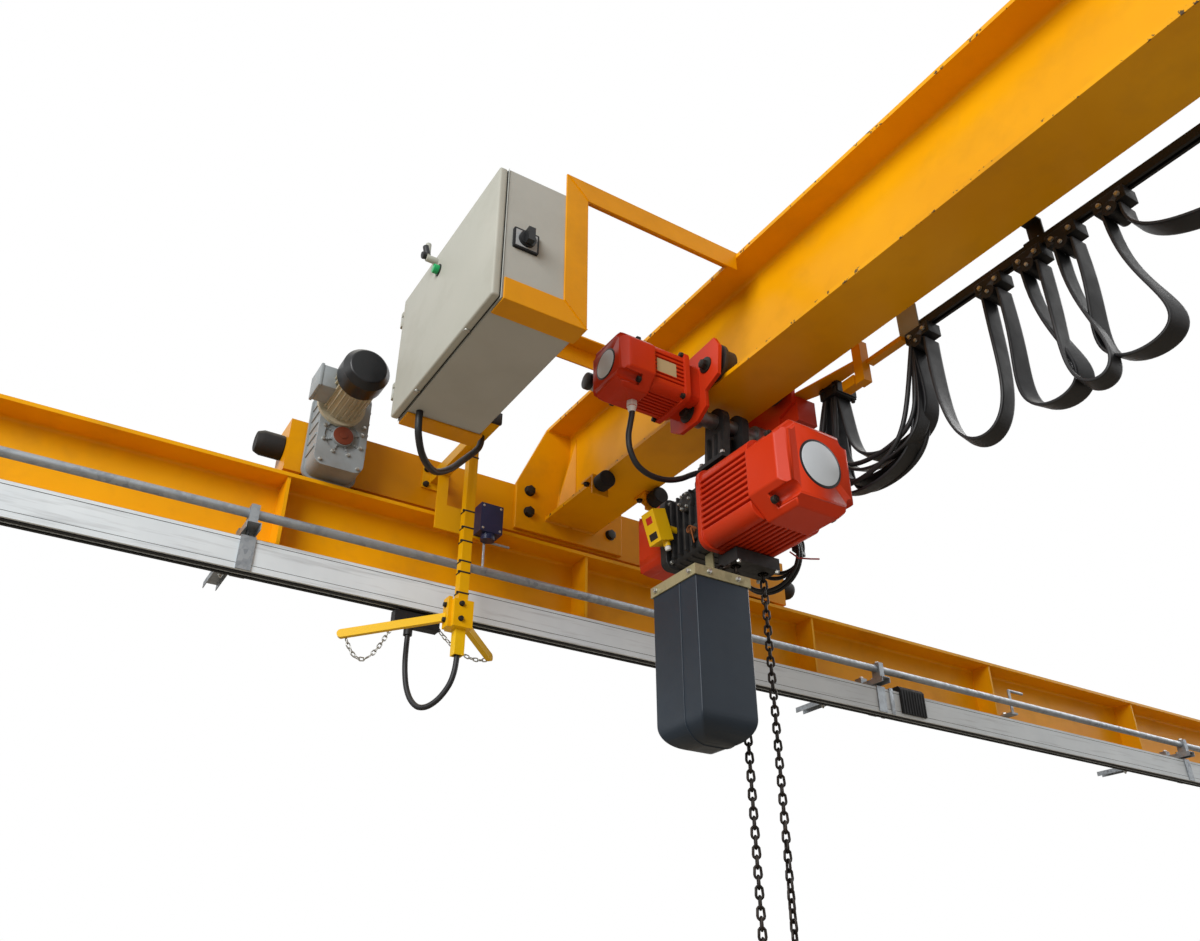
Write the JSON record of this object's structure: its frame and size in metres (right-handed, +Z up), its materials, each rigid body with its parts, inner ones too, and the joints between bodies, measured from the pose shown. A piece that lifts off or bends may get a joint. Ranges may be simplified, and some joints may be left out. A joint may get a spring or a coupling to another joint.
{
  "type": "single-girder overhead bridge crane",
  "caption": "Single-girder overhead travelling crane on two runway beams, with an electric chain hoist on a motor trolley, control panel, festoon cable and enclosed conductor bar.",
  "frame": {"origin": "underside of the near runway beam, on its centre line, in line with the girder", "axes": "+X along the girder towards the far runway, +Y along the runway, +Z up"},
  "size_m": [5.95, 6.3, 2.534],
  "materials": {
    "yellow_paint": "gloss enamel",
    "red_paint": "gloss enamel",
    "galvanised": "galvanised",
    "dark_steel": "oiled",
    "black_rubber": "matt",
    "white_plastic": "matt",
    "black_plastic": "matt",
    "grey_enamel": "powder coat",
    "cream_paint": "satin",
    "silver_paint": "satin",
    "navy_plastic": "satin",
    "yellow_plastic": "satin",
    "slate_plastic": "satin",
    "olive_steel": "satin"
  },
  "bodies": {
    "runway": {"runway_beams": "yellow_paint", "conductor_bar": "white_plastic", "conductor_seal": "black_rubber", "bar_hangers": "galvanised", "conduit_tube": "galvanised"},
    "bridge": {"main_girder": "yellow_paint", "girder_flange": "yellow_paint", "end_plates": "yellow_paint", "end_carriages": "yellow_paint", "stop_brackets": "yellow_paint", "carriage_wheels": "dark_steel", "rubber_buffers": "black_rubber", "travel_gearboxes": "silver_paint", "travel_motors": "cream_paint", "fan_covers": "black_plastic", "panel_frame": "yellow_paint", "panel_box": "grey_enamel", "isolator_plate": "black_plastic", "panel_cable": "black_rubber", "collector_mast": "yellow_paint", "collector": "black_plastic", "collector_cable": "black_rubber", "limit_switch": "navy_plastic", "festoon_rail": "dark_steel", "festoon_brackets": "dark_steel", "festoon_cable": "black_rubber"},
    "isolator": {"isolator_handle": "black_plastic"},
    "door": {"panel_door": "grey_enamel"},
    "trolley": {"side_plates": "red_paint", "cross_shaft": "galvanised", "trolley_motor": "red_paint", "motor_caps": "red_paint", "suspension_block": "dark_steel", "tow_arm": "yellow_paint", "hoist_body": "dark_steel", "gear_cover": "red_paint", "hoist_motor": "red_paint", "limit_box": "yellow_plastic", "chain_container": "slate_plastic", "container_rim": "olive_steel", "chain_guide": "dark_steel", "trolley_cable": "black_rubber", "cable_bundle": "black_rubber", "cable_clamp": "black_plastic", "load_chain": "dark_steel"},
    "hook": {"hook_block": "red_paint", "load_hook": "dark_steel"},
    "tow": {"tow_trolley": "black_plastic"},
    "wheel_1": {"trolley_wheel_1": "dark_steel"},
    "wheel_2": {"trolley_wheel_2": "dark_steel"},
    "wheel_3": {"trolley_wheel_3": "dark_steel"},
    "wheel_4": {"trolley_wheel_4": "dark_steel"},
    "cable_1": {"cable_trolley_1": "black_plastic"},
    "cable_2": {"cable_trolley_2": "black_plastic"},
    "cable_3": {"cable_trolley_3": "black_plastic"},
    "cable_4": {"cable_trolley_4": "black_plastic"},
    "cable_5": {"cable_trolley_5": "black_plastic"},
    "cable_6": {"cable_trolley_6": "black_plastic"},
    "cable_7": {"cable_trolley_7": "black_plastic"},
    "cable_8": {"cable_trolley_8": "black_plastic"}
  },
  "joints": [
    {"name": "bridge_travel", "type": "slide", "parent": "runway", "child": "bridge", "axis": [0, 1, 0], "range_m": [-0.95, 2.48]},
    {"name": "trolley_travel", "type": "slide", "parent": "bridge", "child": "trolley", "axis": [1, 0, 0], "range_m": [0, 3.15], "deforming": ["festoon_cable"]},
    {"name": "hook_lift", "type": "slide", "parent": "trolley", "child": "hook", "axis": [0, 0, 1], "range_m": [-1.2, 1.3], "deforming": ["load_chain"]},
    {"name": "door_swing", "type": "hinge", "parent": "bridge", "child": "door", "pos_m": [0.5355, -0.843, 0.4], "axis": [0, 0, -1], "range_deg": [0, 110]},
    {"name": "isolator_turn", "type": "hinge", "parent": "bridge", "child": "isolator", "pos_m": [1.156, -0.768, 0.44], "axis": [1, 0, 0], "range_deg": [0, 90]},
    {"name": "wheel_1_spin", "type": "hinge", "parent": "trolley", "child": "wheel_1", "pos_m": [0.855, -0.115, 0.4063], "axis": [0, 1, 0], "range_deg": [0, 3880]},
    {"name": "wheel_2_spin", "type": "hinge", "parent": "trolley", "child": "wheel_2", "pos_m": [1.045, -0.115, 0.4063], "axis": [0, 1, 0], "range_deg": [0, 3880]},
    {"name": "wheel_3_spin", "type": "hinge", "parent": "trolley", "child": "wheel_3", "pos_m": [0.855, 0.115, 0.4063], "axis": [0, 1, 0], "range_deg": [0, 3880]},
    {"name": "wheel_4_spin", "type": "hinge", "parent": "trolley", "child": "wheel_4", "pos_m": [1.045, 0.115, 0.4063], "axis": [0, 1, 0], "range_deg": [0, 3880]},
    {"name": "cable_8_slide", "type": "slide", "parent": "bridge", "child": "cable_8", "axis": [1, 0, 0], "range_m": [0, 0.5897]},
    {"name": "cable_7_slide", "type": "slide", "parent": "cable_8", "child": "cable_7", "axis": [1, 0, 0], "range_m": [0, 0.5897]},
    {"name": "cable_6_slide", "type": "slide", "parent": "cable_7", "child": "cable_6", "axis": [1, 0, 0], "range_m": [0, 0.5897]},
    {"name": "cable_5_slide", "type": "slide", "parent": "cable_6", "child": "cable_5", "axis": [1, 0, 0], "range_m": [0, 0.5897]},
    {"name": "cable_4_slide", "type": "slide", "parent": "cable_5", "child": "cable_4", "axis": [1, 0, 0], "range_m": [0, 0.5897]},
    {"name": "cable_3_slide", "type": "slide", "parent": "cable_4", "child": "cable_3", "axis": [1, 0, 0], "range_m": [0, 0.0368]},
    {"name": "cable_2_slide", "type": "slide", "parent": "cable_3", "child": "cable_2", "axis": [1, 0, 0], "range_m": [0, 0.006]},
    {"name": "cable_1_slide", "type": "slide", "parent": "cable_2", "child": "cable_1", "axis": [1, 0, 0], "range_m": [0, 0.0278]},
    {"name": "tow_slide", "type": "slide", "parent": "cable_1", "child": "tow", "axis": [1, 0, 0], "range_m": [0, 0.1401]}
  ],
  "couplings": [
    {"joint": "wheel_1_spin", "follows": "trolley_travel", "rad_per_m": 21.277},
    {"joint": "wheel_2_spin", "follows": "trolley_travel", "rad_per_m": 21.277},
    {"joint": "wheel_3_spin", "follows": "trolley_travel", "rad_per_m": 21.277},
    {"joint": "wheel_4_spin", "follows": "trolley_travel", "rad_per_m": 21.277},
    {"joint": "cable_8_slide", "follows": "trolley_travel", "ratio": 0.18688},
    {"joint": "cable_7_slide", "follows": "trolley_travel", "ratio": 0.18688},
    {"joint": "cable_6_slide", "follows": "trolley_travel", "ratio": 0.18688},
    {"joint": "cable_5_slide", "follows": "trolley_travel", "ratio": 0.18688},
    {"joint": "cable_4_slide", "follows": "trolley_travel", "ratio": 0.18688},
    {"joint": "cable_3_slide", "follows": "trolley_travel", "ratio": 0.011356},
    {"joint": "cable_2_slide", "follows": "trolley_travel", "ratio": 0.001577},
    {"joint": "cable_1_slide", "follows": "trolley_travel", "ratio": 0.008517},
    {"joint": "tow_slide", "follows": "trolley_travel", "ratio": 0.044164}
  ]
}
